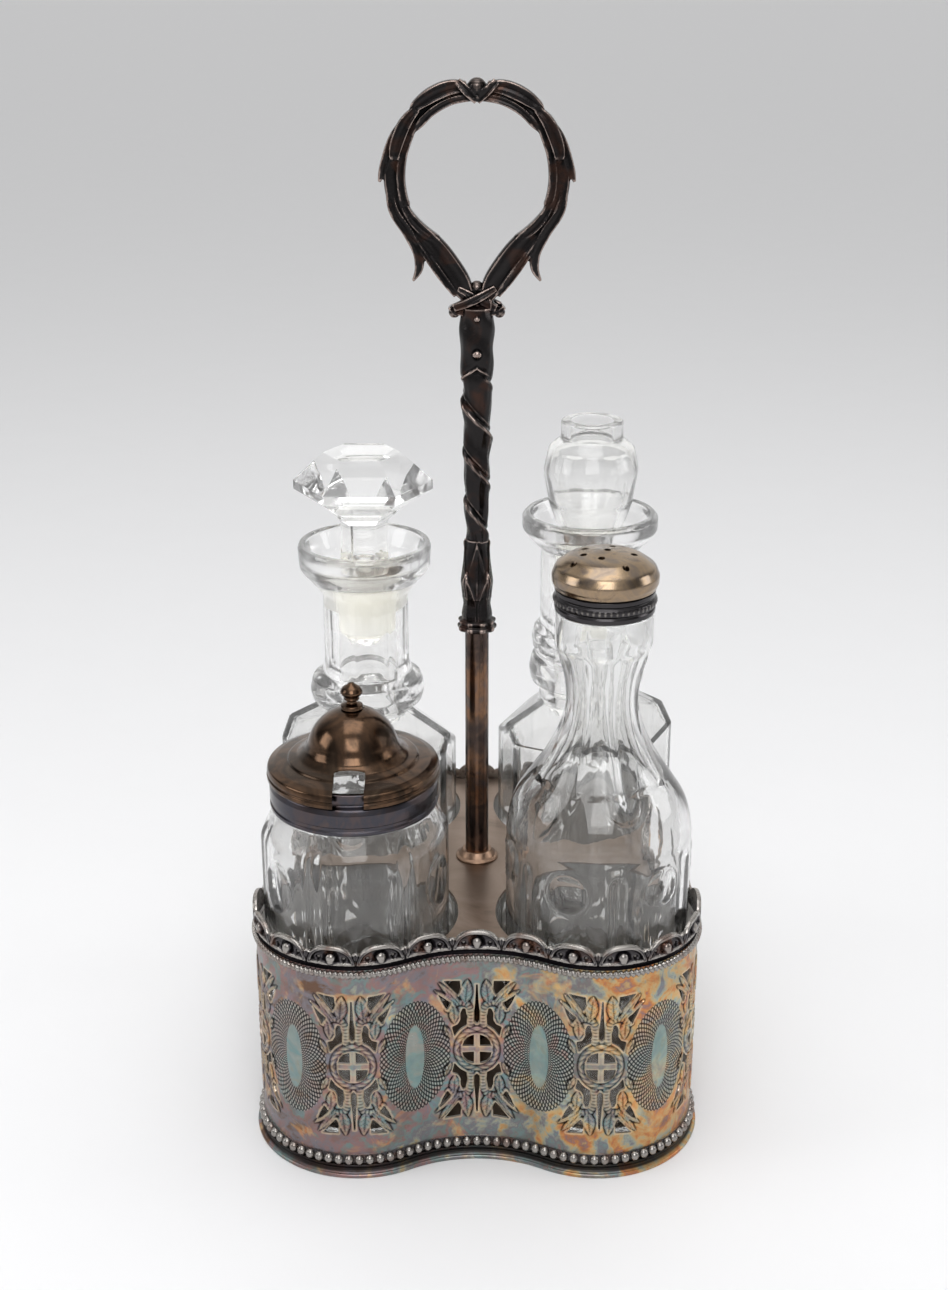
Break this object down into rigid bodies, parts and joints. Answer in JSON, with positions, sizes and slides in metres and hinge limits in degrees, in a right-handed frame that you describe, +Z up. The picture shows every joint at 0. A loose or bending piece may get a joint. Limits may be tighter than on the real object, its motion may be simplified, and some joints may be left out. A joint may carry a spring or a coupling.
{
  "type": "cruet set",
  "caption": "Table cruet stand with a pierced lobed gallery and tall ring handle, holding a mustard jar, pepper bottle and stoppered glass bottles that lift out.",
  "frame": {"origin": "centre of the footprint on the ground, under the handle", "axes": "+X right, +Y back, +Z up along the handle"},
  "size_m": [0.1178, 0.1178, 0.2663],
  "materials": {
    "toned_silver": "silver plate with blue, violet and gold toning",
    "dark_silver": "blackened silver plate with worn high points",
    "inner_silver": "brown-pink tarnished silver plate",
    "post_silver": "dark tarnished silver plate with copper tones",
    "handle_silver": "near-black tarnished cast silver plate",
    "collar_silver": "grey-violet tarnished silver plate",
    "lid_silver": "bronze-brown tarnished silver plate",
    "cap_gilt": "gold-bronze tarnished silver plate",
    "steel_rod": "plain steel",
    "clear_glass": "clear pressed and cut glass"
  },
  "bodies": {
    "stand": {"base_plate": "inner_silver", "foot_moulding": "toned_silver", "gallery_wall": "toned_silver", "bead_strip": "dark_silver", "cord_moulding": "dark_silver", "scalloped_rim": "dark_silver", "top_plate": "inner_silver", "post_tube": "post_silver", "plate_boss": "inner_silver", "tie_rod": "steel_rod", "base_washer": "steel_rod", "rod_nut": "steel_rod", "handle_ferrule": "handle_silver", "leaf_calyx": "handle_silver", "twisted_stem": "handle_silver", "binding_knot": "handle_silver", "ring_handle": "handle_silver"},
    "mustard_pot": {"mustard_jar": "clear_glass", "mustard_collar": "collar_silver"},
    "pot_lid": {"mustard_lid": "lid_silver", "lid_finial": "lid_silver"},
    "pepper_pot": {"pepper_bottle": "clear_glass", "pepper_collar": "collar_silver"},
    "sprinkler_cap": {"pepper_cap": "cap_gilt"},
    "oil_flask": {"oil_bottle": "clear_glass"},
    "oil_plug": {"oil_stopper": "clear_glass"},
    "vinegar_flask": {"vinegar_bottle": "clear_glass"},
    "vinegar_plug": {"vinegar_stopper": "clear_glass"}
  },
  "joints": [
    {"name": "mustard_pot_lift", "type": "slide", "parent": "stand", "child": "mustard_pot", "axis": [0, 0, 1], "range_m": [0, 0.075]},
    {"name": "mustard_lid_lift", "type": "slide", "parent": "mustard_pot", "child": "pot_lid", "axis": [0, 0, 1], "range_m": [0, 0.03]},
    {"name": "pepper_lift", "type": "slide", "parent": "stand", "child": "pepper_pot", "axis": [0, 0, 1], "range_m": [0, 0.075]},
    {"name": "pepper_cap_lift", "type": "slide", "parent": "pepper_pot", "child": "sprinkler_cap", "axis": [0, 0, 1], "range_m": [0, 0.02]},
    {"name": "oil_lift", "type": "slide", "parent": "stand", "child": "oil_flask", "axis": [0, 0, 1], "range_m": [0, 0.075]},
    {"name": "oil_stopper_lift", "type": "slide", "parent": "oil_flask", "child": "oil_plug", "axis": [0, 0, 1], "range_m": [0, 0.04]},
    {"name": "vinegar_lift", "type": "slide", "parent": "stand", "child": "vinegar_flask", "axis": [0, 0, 1], "range_m": [0, 0.075]},
    {"name": "vinegar_stopper_lift", "type": "slide", "parent": "vinegar_flask", "child": "vinegar_plug", "axis": [0, 0, 1], "range_m": [0, 0.035]}
  ]
}
